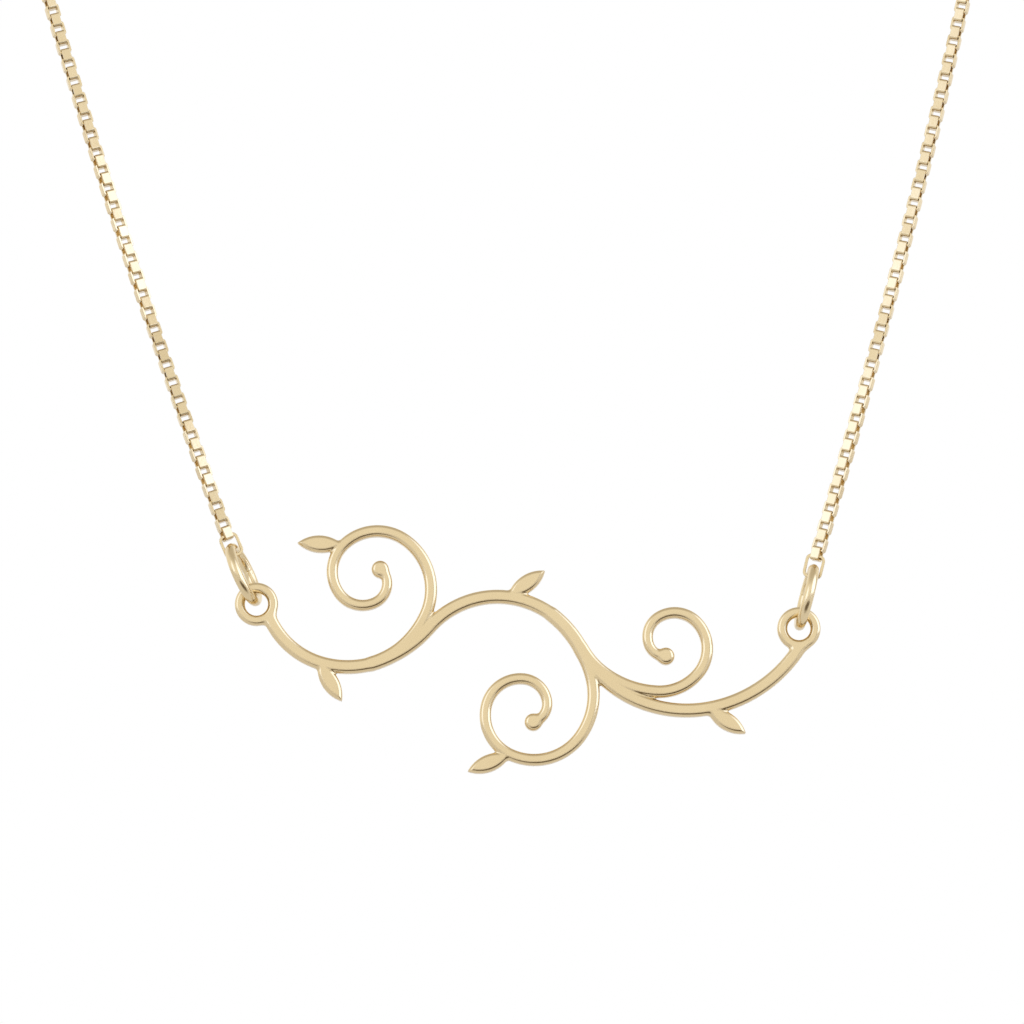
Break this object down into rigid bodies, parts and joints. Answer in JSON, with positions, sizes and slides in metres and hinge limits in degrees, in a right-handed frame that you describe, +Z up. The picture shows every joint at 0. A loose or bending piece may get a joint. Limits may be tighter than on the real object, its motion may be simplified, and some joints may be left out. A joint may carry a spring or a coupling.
{
  "type": "nameplate necklace",
  "caption": "Gold-tone necklace with a pierced scrolling flourish plate hung between two box chains, shown hanging with its clasp closed.",
  "frame": {"origin": "the nape: the middle of the closed clasp at the top of the loop, where the necklace is carried", "axes": "+Z up, the plate's face looks along -Y, +X to the viewer's right"},
  "size_m": [0.097, 0.1017, 0.1365],
  "materials": {
    "plate": "satin-polished pale gold plating",
    "rings": "polished pale gold plating",
    "chain": "polished pale gold plating",
    "clasp": "polished pale gold plating"
  },
  "bodies": {
    "necklace": {"left_jump_ring": "rings", "right_jump_ring": "rings", "left_end_link": "rings", "right_end_link": "rings", "left_chain": "chain", "right_chain": "chain", "left_top_link": "rings", "right_top_link": "rings", "clasp_loop": "rings", "clasp": "clasp", "end_ring": "rings"},
    "nameplate": {"nameplate": "plate"}
  },
  "joints": [
    {"name": "nameplate_swing", "type": "hinge", "parent": "necklace", "child": "nameplate", "pos_m": [0.00381, -0.09631, -0.12261], "axis": [0.9991, 0, -0.0429], "range_deg": [-40, 40]}
  ]
}
